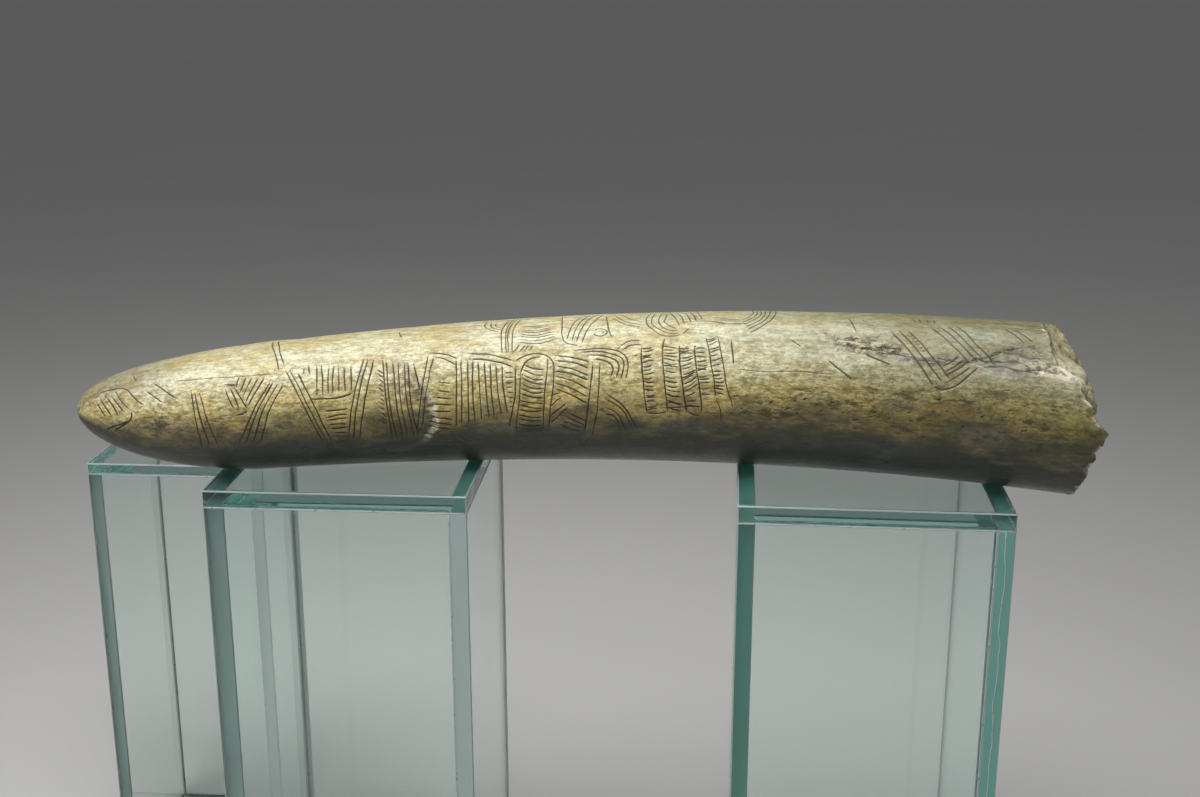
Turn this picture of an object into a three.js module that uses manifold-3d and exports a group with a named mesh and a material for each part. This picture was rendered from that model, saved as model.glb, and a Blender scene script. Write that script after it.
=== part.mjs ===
// An engraved mammoth tusk, broken off behind its tip, lying on glass display risers.
// Millimetres and degrees, +Z up. The tusk runs along X with its tip towards -X, and is seen from -Y.
import * as THREE from "three";
import Module from "manifold-3d";

// Tusk: distances along its axis are counted from the tip
const NOSE_LENGTH = 100; // elliptical worn tip
const SHOULDER_RADIUS = 30; // where the nose ends
const BUTT_RADIUS = 37.5; // near the break
const BODY_LENGTH = 335; // from the shoulder to the full butt radius
const TAPER_POWER = 1.7; // the body swells fast behind the shoulder, then slowly
const BOW_APEX = 225; // the axis is parallel to X here
const TIP_BOW_RADIUS = 700; // both ends curve towards the viewer
const BUTT_BOW_RADIUS = 540;
const NOSE_HEIGHT = 29.2; // axis above the riser tops where the nose lifts off them
const NOSE_LIFT = 4; // how much higher the axis is at the very tip
const NOSE_LIFT_LENGTH = 60;
const OVALNESS = 0.012; // share of the radius, fading out towards the underside
const FLUTING = 0.006;

// Broken end: [angle round the axis, distance from the tip] of the rim; 0 faces the viewer, 90 is up
const BREAK_RIM = [
  [-180, 452], [-140, 450], [-90, 457], [-54, 464], [-30, 469.5], [-12, 474], [1, 477],
  [12, 471.5], [30, 463.5], [48, 450], [62, 447], [90, 441], [130, 445], [180, 452],
];
const BREAK_START = 428; // whole rings end here
const BREAK_FACE = 465; // middle of the rough fracture face
const BREAK_ROUGHNESS = 1.6;
const FACE_CURVE = 1.5; // power of the fall from the rim to the middle of the face

// Main lines of the engraving: strokes from the line first-last to the line firstEnd-lastEnd,
// each point [distance from the tip, angle]; the finer rungs and hatching are too small for this solid
const ENGRAVED_BANDS = [
  { first: [10, 38], last: [19, 42], firstEnd: [13, 4], lastEnd: [23, 15], count: 3 },
  { first: [50.5, 34], last: [55, 30], firstEnd: [54.5, -27], lastEnd: [62, -27], count: 3 },
  { first: [71, -22], last: [81, -19], firstEnd: [87, 36], lastEnd: [92.5, 32], count: 3 },
  { first: [94, 45], last: [100, 42], firstEnd: [110, -29], lastEnd: [115, -29], count: 3 },
  { first: [103, 47], last: [125, 43], firstEnd: [106.5, 25], lastEnd: [124, 20], count: 5 },
  { first: [129.5, 47], last: [135, 49], firstEnd: [121, -26], lastEnd: [126.5, -30], count: 3 },
  { first: [137.8, 47], last: [153, 40], firstEnd: [142, -29], lastEnd: [154, -31], count: 4 },
  { first: [173.2, 42], last: [194, 35], firstEnd: [172.6, -25], lastEnd: [197.5, -17], count: 5 },
  { first: [203.4, 36], last: [215.5, 36], firstEnd: [200.6, -24], lastEnd: [213.4, -24], count: 2 },
  { first: [220.5, 41], last: [219.6, 16], firstEnd: [235.3, 36], lastEnd: [235.6, 5], count: 4 },
  { first: [237, 35], last: [240.5, 36], firstEnd: [232.4, -34], lastEnd: [236, -36], count: 2 },
  { first: [246, 2], last: [248, 11], firstEnd: [253, -23], lastEnd: [259.5, -20], count: 3 },
  { first: [260.6, 50], last: [292.2, 48], firstEnd: [263.6, -4], lastEnd: [298.6, -2], count: 5 },
  { first: [262, 40], last: [264, 0], firstEnd: [270.4, 40], lastEnd: [273, 0], count: 5 },
  { first: [377, 61], last: [383, 62], firstEnd: [400, 20], lastEnd: [404, 24], count: 3 },
  { first: [394, 71], last: [405, 72], firstEnd: [409, 41], lastEnd: [421.5, 41], count: 3 },
];
const GROOVE_WIDTH = 1.4; // at the skin
const GROOVE_DEPTH = 0.6;
const GROOVE_PROUD = 0.5; // the cutter stands this far out of the skin
const GROOVE_TURN = 12; // degrees round the tusk that one straight piece of a groove may cover

// Glass risers: square boxes of glued plates, open underneath
const RISER_HEIGHT = 280;
const RISER_WIDTH = 120;
const RISER_GLASS = 8;
const REAR_RISER_HEIGHT = 250;
const REAR_RISER_WIDTH = 90;
const REAR_RISER_GLASS = 6;
const ARRIS = 0.6; // chamfer ground along every glass edge
const GLUE_GAP = 0.2;
const REST_GAP = 0.3; // between the tusk and the plates that carry it

// Where each riser stands, from the axis's apex, and how far it is turned about Z
const LEFT_RISER_PLACE = { x: -100, y: 6, turn: -4 };
const RIGHT_RISER_PLACE = { x: 140, y: -15, turn: -5 };
const REAR_RISER_PLACE = { x: -213, y: 121, turn: -4 };

// Mesh steps
const NOSE_RINGS = 12;
const BODY_RINGS = 20;
const BREAK_RINGS = 4;
const FACE_RINGS = 5;
const AROUND = 42;

const ivory = new THREE.MeshStandardMaterial({ color: 0xb9a477, roughness: 0.45, metalness: 0 });
const glass = new THREE.MeshStandardMaterial({
  color: 0xbfe0d8, roughness: 0.04, metalness: 0, transparent: true, opacity: 0.35,
});

// Tusk radius at a distance from the tip, before ovalness and fluting.
function radiusAt(along) {
  if (along < NOSE_LENGTH) {
    const back = 1 - along / NOSE_LENGTH;
    return SHOULDER_RADIUS * Math.sqrt(1 - back * back);
  }
  const left = Math.max(0, 1 - (along - NOSE_LENGTH) / BODY_LENGTH);
  return BUTT_RADIUS - (BUTT_RADIUS - SHOULDER_RADIUS) * left ** TAPER_POWER;
}

// Height of the axis above the riser tops: the body lies on them, and the nose lifts a little.
function axisHeight(along) {
  const nose = NOSE_HEIGHT + NOSE_LIFT * Math.max(0, 1 - along / NOSE_LIFT_LENGTH) ** 2;
  return REST_GAP + Math.max(radiusAt(along), nose);
}

// Point inside or on the tusk: share is 0 on the axis and 1 on the skin.
function tuskPoint(along, angle, share) {
  const fromApex = along - BOW_APEX;
  const bow = fromApex < 0 ? TIP_BOW_RADIUS : BUTT_BOW_RADIUS;
  const turn = fromApex / bow;
  const rad = THREE.MathUtils.degToRad(angle);
  const fade = (1 + Math.sin(rad)) / 2;
  const oval = OVALNESS * Math.cos(2 * rad - 0.7) + FLUTING * Math.cos(5 * rad + along / 60);
  const radius = share * radiusAt(along) * (1 + oval * fade);
  const outward = new THREE.Vector3(-Math.sin(turn), -Math.cos(turn), 0).multiplyScalar(Math.cos(rad));
  outward.z = Math.sin(rad);
  return new THREE.Vector3(bow * Math.sin(turn), -bow * (1 - Math.cos(turn)), axisHeight(along))
    .addScaledVector(outward, radius);
}

// Distance from the tip at which the skin is broken off, at an angle round the axis.
function breakReach(angle) {
  const next = BREAK_RIM.findIndex(([a]) => a >= angle);
  if (next <= 0) return BREAK_RIM[0][1];
  const [[a0, r0], [a1, r1]] = [BREAK_RIM[next - 1], BREAK_RIM[next]];
  return THREE.MathUtils.lerp(r0, r1, THREE.MathUtils.smoothstep(angle, a0, a1));
}

// Uneven ledges of the fracture face, none at the rim.
function fractureRelief(angle, share) {
  const rad = THREE.MathUtils.degToRad(angle);
  const across = share * BUTT_RADIUS * Math.cos(rad);
  const up = share * BUTT_RADIUS * Math.sin(rad);
  const waves = Math.sin(0.23 * across + 0.9) * Math.cos(0.19 * up - 0.4) + 0.6 * Math.sin(0.41 * up + 0.3 * across);
  return BREAK_ROUGHNESS * waves * (1 - share * share);
}

// Every ring of the tusk from the nose to the fracture face, as functions of the angle.
function tuskRings() {
  const rings = [];
  for (let i = 1; i <= NOSE_RINGS; i++) {
    const along = NOSE_LENGTH * (1 - Math.cos((Math.PI / 2) * (i / NOSE_RINGS)));
    rings.push((angle) => tuskPoint(along, angle, 1));
  }
  for (let i = 1; i <= BODY_RINGS; i++) {
    const along = THREE.MathUtils.lerp(NOSE_LENGTH, BREAK_START, i / BODY_RINGS);
    rings.push((angle) => tuskPoint(along, angle, 1));
  }
  for (let i = 1; i <= BREAK_RINGS; i++) {
    const share = i / BREAK_RINGS;
    rings.push((angle) => tuskPoint(THREE.MathUtils.lerp(BREAK_START, breakReach(angle), share), angle, 1));
  }
  for (let i = 1; i < FACE_RINGS; i++) {
    const share = 1 - i / FACE_RINGS;
    rings.push((angle) => {
      const along = THREE.MathUtils.lerp(BREAK_FACE, breakReach(angle), share ** FACE_CURVE);
      return tuskPoint(along + fractureRelief(angle, share), angle, share);
    });
  }
  return rings;
}

// One closed surface: the tip point, the rings, and the middle of the fracture face.
function tuskGeometry() {
  const rings = tuskRings();
  const positions = [...tuskPoint(0, 0, 0)];
  for (const ring of rings)
    for (let j = 0; j < AROUND; j++) positions.push(...ring(-180 + (360 * j) / AROUND));
  positions.push(...tuskPoint(BREAK_FACE, 0, 0));
  const last = positions.length / 3 - 1;
  const vertex = (ring, j) => 1 + ring * AROUND + (j % AROUND);
  const index = [];
  for (let j = 0; j < AROUND; j++) {
    index.push(0, vertex(0, j), vertex(0, j + 1));
    for (let i = 0; i + 1 < rings.length; i++) {
      index.push(vertex(i, j), vertex(i + 1, j), vertex(i + 1, j + 1));
      index.push(vertex(i, j), vertex(i + 1, j + 1), vertex(i, j + 1));
    }
    index.push(last, vertex(rings.length - 1, j + 1), vertex(rings.length - 1, j));
  }
  const geometry = new THREE.BufferGeometry();
  geometry.setAttribute("position", new THREE.Float32BufferAttribute(positions, 3));
  geometry.setIndex(index);
  geometry.computeVertexNormals();
  return geometry;
}

// A three-sided cutter along one stroke: its lower edge is inside the tusk, its flat top outside.
function grooveCutter(start, end) {
  const steps = Math.max(1, Math.ceil(Math.abs(end[1] - start[1]) / GROOVE_TURN));
  const spread = (GROOVE_WIDTH / 2) * (1 + GROOVE_PROUD / GROOVE_DEPTH);
  const positions = [];
  for (let k = 0; k <= steps; k++) {
    const along = THREE.MathUtils.lerp(start[0], end[0], k / steps);
    const angle = THREE.MathUtils.lerp(start[1], end[1], k / steps);
    const radius = radiusAt(along);
    const perDegree = THREE.MathUtils.degToRad(radius);
    const way = new THREE.Vector2(end[0] - start[0], (end[1] - start[1]) * perDegree).normalize();
    const [aside, round] = [-way.y * spread, (way.x * spread) / perDegree];
    positions.push(
      ...tuskPoint(along, angle, 1 - GROOVE_DEPTH / radius),
      ...tuskPoint(along - aside, angle - round, 1 + GROOVE_PROUD / radius),
      ...tuskPoint(along + aside, angle + round, 1 + GROOVE_PROUD / radius),
    );
  }
  const index = [0, 1, 2, 3 * steps, 3 * steps + 2, 3 * steps + 1];
  for (let k = 0; k < steps; k++)
    for (let side = 0; side < 3; side++) {
      const [a, b] = [3 * k + side, 3 * k + ((side + 1) % 3)];
      index.push(a, b + 3, b, a, a + 3, b + 3);
    }
  return solidOf(positions, index);
}

function solidOf(positions, index) {
  const mesh = new wasm.Mesh({
    numProp: 3, vertProperties: Float32Array.from(positions), triVerts: Uint32Array.from(index),
  });
  return new wasm.Manifold(mesh);
}

// The tusk with the main lines of its engraving cut into it.
function engravedGeometry(plain) {
  let solid = solidOf(plain.attributes.position.array, plain.index.array);
  for (const { first, last, firstEnd, lastEnd, count } of ENGRAVED_BANDS)
    for (let i = 0; i < count; i++) {
      const share = i / (count - 1);
      const start = first.map((value, k) => THREE.MathUtils.lerp(value, last[k], share));
      const end = firstEnd.map((value, k) => THREE.MathUtils.lerp(value, lastEnd[k], share));
      solid = solid.subtract(grooveCutter(start, end));
    }
  const cut = solid.getMesh();
  const geometry = new THREE.BufferGeometry();
  geometry.setAttribute("position", new THREE.BufferAttribute(cut.vertProperties, cut.numProp));
  geometry.setIndex(new THREE.BufferAttribute(cut.triVerts, 1));
  geometry.computeVertexNormals();
  return geometry;
}

// A glass plate with ground arrises, centred on the origin, thickness along Z.
function plateGeometry(width, length, thickness) {
  const outline = new THREE.Shape();
  const [w, l] = [width / 2 - ARRIS, length / 2 - ARRIS];
  outline.moveTo(-w, -l).lineTo(w, -l).lineTo(w, l).lineTo(-w, l).closePath();
  const geometry = new THREE.ExtrudeGeometry(outline, {
    depth: thickness - 2 * ARRIS,
    bevelEnabled: true,
    bevelSegments: 1,
    bevelSize: ARRIS,
    bevelThickness: ARRIS,
  });
  return geometry.translate(0, 0, ARRIS - thickness / 2);
}

// Five plates: the top covers the walls, and each wall butts against the face of the next one round.
function riser(name, width, height, thickness, place) {
  const box = new THREE.Group();
  const top = new THREE.Mesh(plateGeometry(width, width, thickness), glass);
  top.name = `${name}_top`;
  top.position.z = height - thickness / 2;
  box.add(top);
  const wallWidth = width - thickness - GLUE_GAP;
  const wallHeight = height - thickness - GLUE_GAP;
  ["front", "right", "back", "left"].forEach((side, k) => {
    const wall = new THREE.Mesh(plateGeometry(wallWidth, wallHeight, thickness).rotateX(Math.PI / 2), glass);
    wall.name = `${name}_${side}`;
    wall.position.set(-(thickness + GLUE_GAP) / 2, (thickness - width) / 2, wallHeight / 2);
    const around = new THREE.Group();
    around.rotation.z = (k * Math.PI) / 2;
    around.add(wall);
    box.add(around);
  });
  box.position.set(place.x, place.y, 0);
  box.rotation.z = THREE.MathUtils.degToRad(place.turn);
  return box;
}

const wasm = await Module();
wasm.setup();
const tusk = new THREE.Mesh(engravedGeometry(tuskGeometry()), ivory);
tusk.name = "tusk";
tusk.position.z = RISER_HEIGHT;

const display = new THREE.Group();
display.add(tusk);
display.add(riser("left_riser", RISER_WIDTH, RISER_HEIGHT, RISER_GLASS, LEFT_RISER_PLACE));
display.add(riser("right_riser", RISER_WIDTH, RISER_HEIGHT, RISER_GLASS, RIGHT_RISER_PLACE));
display.add(riser("rear_riser", REAR_RISER_WIDTH, REAR_RISER_HEIGHT, REAR_RISER_GLASS, REAR_RISER_PLACE));

// The origin is on the floor, under the middle of the whole display.
const middle = new THREE.Box3().setFromObject(display, true).getCenter(new THREE.Vector3());
display.position.set(-middle.x, -middle.y, 0);

const part = new THREE.Group();
part.add(display);

export default part;
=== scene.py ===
# An engraved mammoth tusk on glass risers: the looks, camera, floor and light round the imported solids.
# Blender works in metres. The object's own sizes are in millimetres and degrees, as in the part's source.
import math
import random

import bmesh
import bpy
import numpy as np
from mathutils import Matrix, Vector, kdtree, noise
from mathutils.geometry import delaunay_2d_cdt


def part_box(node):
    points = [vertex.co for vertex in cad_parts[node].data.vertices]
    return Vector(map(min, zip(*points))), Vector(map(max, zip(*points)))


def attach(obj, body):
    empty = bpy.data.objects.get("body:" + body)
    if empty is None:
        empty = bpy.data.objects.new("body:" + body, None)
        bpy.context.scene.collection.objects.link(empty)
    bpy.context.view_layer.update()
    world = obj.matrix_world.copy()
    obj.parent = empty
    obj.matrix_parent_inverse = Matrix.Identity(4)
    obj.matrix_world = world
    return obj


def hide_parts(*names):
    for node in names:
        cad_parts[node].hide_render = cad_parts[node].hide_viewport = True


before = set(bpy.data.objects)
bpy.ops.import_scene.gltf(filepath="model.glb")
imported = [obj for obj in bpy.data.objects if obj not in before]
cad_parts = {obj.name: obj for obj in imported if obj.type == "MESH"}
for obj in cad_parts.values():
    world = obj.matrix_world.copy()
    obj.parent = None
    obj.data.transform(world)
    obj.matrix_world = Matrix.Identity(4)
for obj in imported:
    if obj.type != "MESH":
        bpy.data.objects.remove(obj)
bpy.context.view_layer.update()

MM = 0.001

# Tusk sizes, the same as the solid's; distances along the axis are counted from the tip
NOSE_LENGTH = 100
SHOULDER_RADIUS = 30
BUTT_RADIUS = 37.5
BODY_LENGTH = 335
TAPER_POWER = 1.7
BOW_APEX = 225
TIP_BOW_RADIUS = 700
BUTT_BOW_RADIUS = 540
NOSE_HEIGHT = 29.2
NOSE_LIFT = 4
NOSE_LIFT_LENGTH = 60
OVALNESS = 0.012
OVAL_PHASE = 0.7
FLUTING = 0.006
FLUTES = 5
FLUTE_TWIST = 60
REST_GAP = 0.3

# Rim of the broken end: (angle round the axis, distance from the tip); 0 faces the viewer, 90 is up
BREAK_RIM = [
    (-180, 452), (-140, 450), (-90, 457), (-54, 464), (-30, 469.5), (-12, 474), (1, 477),
    (12, 471.5), (30, 463.5), (48, 450), (62, 447), (90, 441), (130, 445), (180, 452),
]
BREAK_FACE = 465
FACE_CURVE = 1.5
FACE_WAVES = 1.6
FACE_ROUGHNESS = 2.4
FACE_LAYERS = 5
FACE_STEP = 1.3
RIM_JAG = 1.8
JAG_GRAIN = 7

# A knob that stands out of the broken face: angle, share of the radius, height and reach
KNOB_ANGLE = 50
KNOB_SHARE = 0.68
KNOB_HEIGHT = 6
KNOB_REACH = 6.5

# Mesh steps of the tusk's skin and of its broken face
FRONT_STEP = 1.4
BACK_STEP = 2.8
FRONT_FROM = -60
FRONT_TO = 125
TIP_START = 1.0
TIP_POINTS = 30
RIM_POINTS = 300
FACE_RINGS = 36

# Engraved strokes: full weight on the front, lighter over the top
BOLD = 1.0
FAINT = 0.95
SCRATCH = 0.6
STROKE_HALF_WIDTH = 0.55
STROKE_DEPTH = 0.5
STROKE_STEP = 1.5
STROKE_TAPER = 1.4
STROKE_GUARD = 0.3
STROKE_END = 0.3
WIDTH_SPREAD = (0.85, 1.15)
DEPTH_SPREAD = (0.8, 1.2)
PRESS = 0.9
PRESS_CHANGE = 0.35
PRESS_GRAIN = 0.12
SHAKE_GRAIN = 0.15
STROKE_WOBBLE = 0.32
SLIP = 0.13
RUNG_STEP = 3.0
RUNG_PARTING = 0.4
RUNG_GAPS = (0.65, 1.4)
RUNG_LENGTHS = (0.72, 1.0)
RUNG_BOWS = (-1.2, 0.8)
LEAN_SLIP = 1.3

# Cracks and pits
CRACK_HALF_WIDTH = 0.5
CRACK_DEPTH = 0.6
CRACK_WOBBLE = 1.2
CRACK_INK = 0.6
CRACK_STAIN = 1.9
PIT_HALF_WIDTH = 0.5
PIT_DEPTH = 0.4
PIT_SIZES = (0.5, 1.2)
PIT_INKS = (0.35, 0.9)
LARGE_PIT_SIZES = (2.0, 3.3)

# Flake scar on the front: (angle, distance from the tip) of its steep edge; the hollow lies on the tip side
SCAR_EDGE = [
    (-38, 151), (-28, 158), (-18, 162), (-8, 164), (5, 163), (15, 160), (28, 155), (38, 151), (48, 146),
]
SCAR_JAG = 0.9
SCAR_WALL = 2.4
SCAR_WIDTH = 17
SCAR_DEPTH = 2.0

# Slow swell of the skin, none underneath where the tusk rests
SWELL = 0.35
SWELL_GRAIN = 0.035
CRUMBLE = 0.6
RIM_CRUMBLE_REACH = 6
RIM_CHIP = 0.9
FACE_CHIP_ANGLE = 38
FACE_CHIP_REACH = 15
FACE_CHIP_SHARES = (0.35, 0.7)

# Decayed, chipped, dirty and rusty places: (along, angle, reach along, reach in angle)
DECAYED = [(358, 52, 9, 4), (366, 48.5, 10, 3.5), (378, 45.5, 8, 2.5), (344, 58.5, 3, 2.5), (446, 40, 8, 5)]
CHIPPED = [(456, 40, 5, 6), (448, 38, 5, 2.5)]
DIRTY = [
    (36, -2, 11, 8), (84, -6, 14, 5), (189, -17, 10, 5), (226, -17, 9, 4), (282, -15, 12, 4),
    (320, -14, 10, 3), (354, -5, 9, 3), (384, 7, 7, 3), (424, -8, 13, 6),
]
RUSTY = [
    (267, -3, 4, 2.5), (280, 5, 7, 6), (297.5, 17, 2, 3), (292, -7, 9, 2.5), (208, 5, 6, 9), (232, -7, 5, 6),
    (147, 28, 5, 7), (311, 7, 6, 3), (347, 1, 9, 3), (405, 6, 10, 4),
]

# Risers: their turn about Z, and whether the upright edges of their walls are ground matt
RISER_TURNS = {"left_riser": -4, "right_riser": -5, "rear_riser": -4}
GROUND_RISERS = ("left_riser", "rear_riser")
WALLS = ("front", "right", "back", "left")
GLUE_GAP = 0.2
GLUE_OVERLAP = 0.1
ARRIS = 0.6
BEAD_RADIUS = 0.42
BEAD_SIDES = 6
BEAD_STEP = 3
BEAD_WANDER = 0.12
RUN_RADIUS = 0.8 * BEAD_RADIUS
RUN_WANDER = 1.5

# The left riser's middle, from the apex of the tusk's bow: it places the tusk in the frame
LEFT_RISER_FROM_APEX = Vector((-100, 6, 0))

# Colours, linear; the ivory's change from the underside to the top by the sine of the angle. The darkening
# towards the underside is partly the ivory's own staining and partly painted shade.
IVORY_TONES_WITH_SHADE = [
    (-1.0, (0.085, 0.088, 0.070, 1)),
    (-0.42, (0.050, 0.050, 0.036, 1)),
    (-0.2, (0.165, 0.150, 0.082, 1)),
    (0.0, (0.485, 0.430, 0.225, 1)),
    (0.22, (0.800, 0.730, 0.410, 1)),
    (0.45, (0.800, 0.780, 0.530, 1)),
    (0.75, (0.690, 0.680, 0.480, 1)),
    (1.0, (0.580, 0.560, 0.375, 1)),
]
PATCH_SHIFT = 1.2
MOTTLE_SHIFT = 0.9
# On the nose the tones are lifted and its top is darkened: painted light on its lower side, painted shade on
# its top
NOSE_LIGHT_SHIFT = 0.13
OCHRE_CAST = (0.95, 0.80, 0.49, 1)
MOTTLE_CAST = (0.56, 0.51, 0.37, 1)
FLAKE_CAST = (1.18, 1.20, 1.20, 1)
GRAIN_CAST = (0.66, 0.60, 0.46, 1)
# Darker towards the butt: partly the ivory's own staining, partly painted shade where the light falls off
BUTT_STAIN_AND_SHADE = (0.38, 0.40, 0.34, 1)
NOSE_TOP_SHADE = (0.62, 0.60, 0.60, 1)
RUST = (0.200, 0.125, 0.050, 1)
SPECK = (0.050, 0.038, 0.018, 1)
# The smear colour darkens dirt and crack stains, and also paints shade into the scar's hollow
SMEAR_AND_SHADE = (0.130, 0.120, 0.092, 1)
PIGMENT = (0.040, 0.030, 0.016, 1)
DUST = (0.130, 0.130, 0.112, 1)
FRESH = (0.740, 0.690, 0.530, 1)
CRUMB_DARK = (0.110, 0.078, 0.036, 1)
CRUMB_PALE = (0.640, 0.590, 0.400, 1)
BREAK_PALE = (0.560, 0.510, 0.310, 1)
BREAK_BROWN = (0.200, 0.160, 0.075, 1)
BUMP_STRENGTH = 0.45
BUMP_DISTANCE = 0.0004
GLASS_CLEAR = (0.97, 1.0, 0.99, 1)
GLASS_GROUND = (0.86, 0.94, 0.93, 1)
# The glued edge's teal stands in for light carried along the glass to its edges: painted glow
GLUED_EDGE_GLOW = (0.28, 0.66, 0.58, 1)
GLASS_TINT = (0.2, 0.86, 0.78, 1)
GLASS_DENSITY = 5.5
GLASS_IOR = 1.52
GROUND_ROUGHNESS = 0.35
GROUND_CLARITY = 0.6
GLUED_GLOW_CLARITY = 0.5
POLISHED_DUST = 0.03
GROUND_DUST = 0.15
GLUE_WHITE = (0.80, 0.86, 0.84, 1)

# Camera, as fitted to the risers' edges in the photograph, and the studio
CAMERA_FROM_APEX = Vector((0.015, -0.681, 0.2234))
CAMERA_PITCH = 15.94
CAMERA_LENS = 44.69
FLOOR_SIZE = 160
FLOOR_TONES = ((0.56, 0.55, 0.53, 1), (0.6, 0.59, 0.57, 1))
FLOOR_ROUGHNESS = 0.8
WORLD_COLOR = (0.95, 0.97, 1.0, 1)
WORLD_STRENGTH = 0.17

# Lights: name, place from the apex and size in metres, power in watts
LIGHTS = [
    ("key", (-0.18, -0.33, 0.8), (0.8, 0.5), 8.4),
    ("top_strip", (0.06, 0.36, 0.85), (0.7, 0.07), 3.4),
    ("left_front", (-1.1, -0.8, 0.55), (0.6, 0.6), 2.0),
]

SEED = 7
chance = random.Random(SEED)
noise.seed_set(SEED)


# Tusk shape

def radius_at(along):
    nose_back = 1 - np.minimum(along, NOSE_LENGTH) / NOSE_LENGTH
    nose = SHOULDER_RADIUS * np.sqrt(np.maximum(0, 1 - nose_back ** 2))
    left = np.clip(1 - (along - NOSE_LENGTH) / BODY_LENGTH, 0, 1)
    body = BUTT_RADIUS - (BUTT_RADIUS - SHOULDER_RADIUS) * left ** TAPER_POWER
    return np.where(along < NOSE_LENGTH, nose, body)


def axis_height(along):
    nose = NOSE_HEIGHT + NOSE_LIFT * np.maximum(0, 1 - along / NOSE_LIFT_LENGTH) ** 2
    return REST_GAP + np.maximum(radius_at(along), nose)


def tusk_points(along, angle, depth, share=1.0):
    """Points of the tusk in millimetres from its apex; depth is measured inward from the skin."""
    along = np.asarray(along, float)
    rad = np.radians(np.asarray(angle, float))
    from_apex = along - BOW_APEX
    bow = np.where(from_apex < 0, TIP_BOW_RADIUS, BUTT_BOW_RADIUS)
    turn = from_apex / bow
    fade = (1 + np.sin(rad)) / 2
    oval = OVALNESS * np.cos(2 * rad - OVAL_PHASE) + FLUTING * np.cos(FLUTES * rad + along / FLUTE_TWIST)
    radius = share * radius_at(along) * (1 + oval * fade) - depth
    x = bow * np.sin(turn) - np.sin(turn) * np.cos(rad) * radius
    y = -bow * (1 - np.cos(turn)) - np.cos(turn) * np.cos(rad) * radius
    z = axis_height(along) + np.sin(rad) * radius
    return np.stack([x, y, z], axis=-1)


def smoothstep(value, start, end):
    t = np.clip((value - start) / (end - start), 0, 1)
    return t * t * (3 - 2 * t)


def break_reach(angle):
    for (a0, r0), (a1, r1) in zip(BREAK_RIM, BREAK_RIM[1:]):
        if angle <= a1:
            rad = math.radians(angle)
            place = Vector((math.cos(rad) * JAG_GRAIN, math.sin(rad) * JAG_GRAIN, 0))
            jag = noise.turbulence(place, 4, False) - 0.5
            return r0 + (r1 - r0) * float(smoothstep(angle, a0, a1)) + RIM_JAG * jag
    return BREAK_RIM[-1][1]


def unroll(along, angle):
    return along, math.radians(angle) * float(radius_at(along))


# Engraved strokes, as lists of (along, angle)

def mix(a, b, t):
    return tuple(p + (q - p) * t for p, q in zip(a, b))


def nested(first, last, count):
    """Strokes that change evenly from one line to another, with the slips of a hand."""
    strokes = []
    for i in range(count):
        t = i + chance.uniform(-SLIP, SLIP)
        step = 1 / max(1, count - 1)
        strokes.append([mix(a, b, (t + chance.uniform(-SLIP, SLIP)) * step) for a, b in zip(first, last)])
    return strokes


def hatch(first, last, first_end, last_end, count, bow=(0, 0)):
    """Strokes from the line first to last, to the line first_end to last_end, bowed by an (along, angle)."""
    lines = []
    for start, end in ((first, first_end), (last, last_end)):
        middle = mix(start, end, 0.5)
        lines.append([start, (middle[0] + bow[0], middle[1] + bow[1]), end])
    return nested(lines[0], lines[1], count)


def rail_at(rail, angle):
    """Where a rail that runs downward is at an angle."""
    return float(np.interp(angle, [a for _, a in reversed(rail)], [u for u, _ in reversed(rail)]))


def rungs(left, right, leans, reach):
    """Rungs from a left rail: leans, top to bottom, raise their right ends, and reach is their length."""
    top = min(left[0][1], right[0][1]) - 1
    bottom = max(left[-1][1], right[-1][1]) + 1
    strokes = []
    angle = top
    lowest = top + max(leans)
    while angle > bottom:
        down = (top - angle) / (top - bottom)
        lean = float(np.interp(down, np.linspace(0, 1, len(leans)), leans))
        lean += chance.uniform(-LEAN_SLIP, LEAN_SLIP)
        lowest = min(angle + lean, lowest - RUNG_PARTING * RUNG_STEP)
        start = (rail_at(left, angle), angle)
        end = mix(start, (rail_at(right, angle), lowest), reach * chance.uniform(*RUNG_LENGTHS))
        middle = mix(start, end, 0.5)
        strokes.append([start, (middle[0], middle[1] + chance.uniform(*RUNG_BOWS)), end])
        angle -= RUNG_STEP * chance.uniform(*RUNG_GAPS)
    return strokes


def tip_motifs():
    """An open oval filled with slanted hatching, and three long lines."""
    return [
        *hatch((9, 38), (18, 42), (12.8, 4), (23.4, 17), 5, bow=(-0.3, 0)),
        [(10, 52.5), (15, 53), (19.5, 51.5), (22.5, 47), (24.2, 40), (25.7, 33), (27.5, 27), (30, 23)],
        [(24, 15), (23.9, 9), (22.8, 3), (20.3, -4), (17.3, -12), (15.3, -20)],
        [(22.3, 4), (19.2, -3), (15.8, -9), (13.2, -16), (11.5, -26)],
        [(34, 49), (37, 43), (41, 34), (44, 28)],
        *hatch((50.8, 34), (54.7, 29), (54.7, -26), (62.4, -24), 3, bow=(-0.8, 0)),
    ]


def left_chevron():
    """Two hatched arms that meet low."""
    return [
        *hatch((66, 32.5), (70.5, 33), (69.3, 14), (75, 14), 3),
        *hatch((71.5, 34), (76, 16), (73, 44), (84, 40), 5),
        *hatch((70.5, -21), (80.7, -18), (86.5, 36), (92.5, 32), 4, bow=(-1, 2)),
        [(66, 37.5), (72, 36)],
        [(70, 9), (73, 9.5), (76, 12)],
    ]


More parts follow.
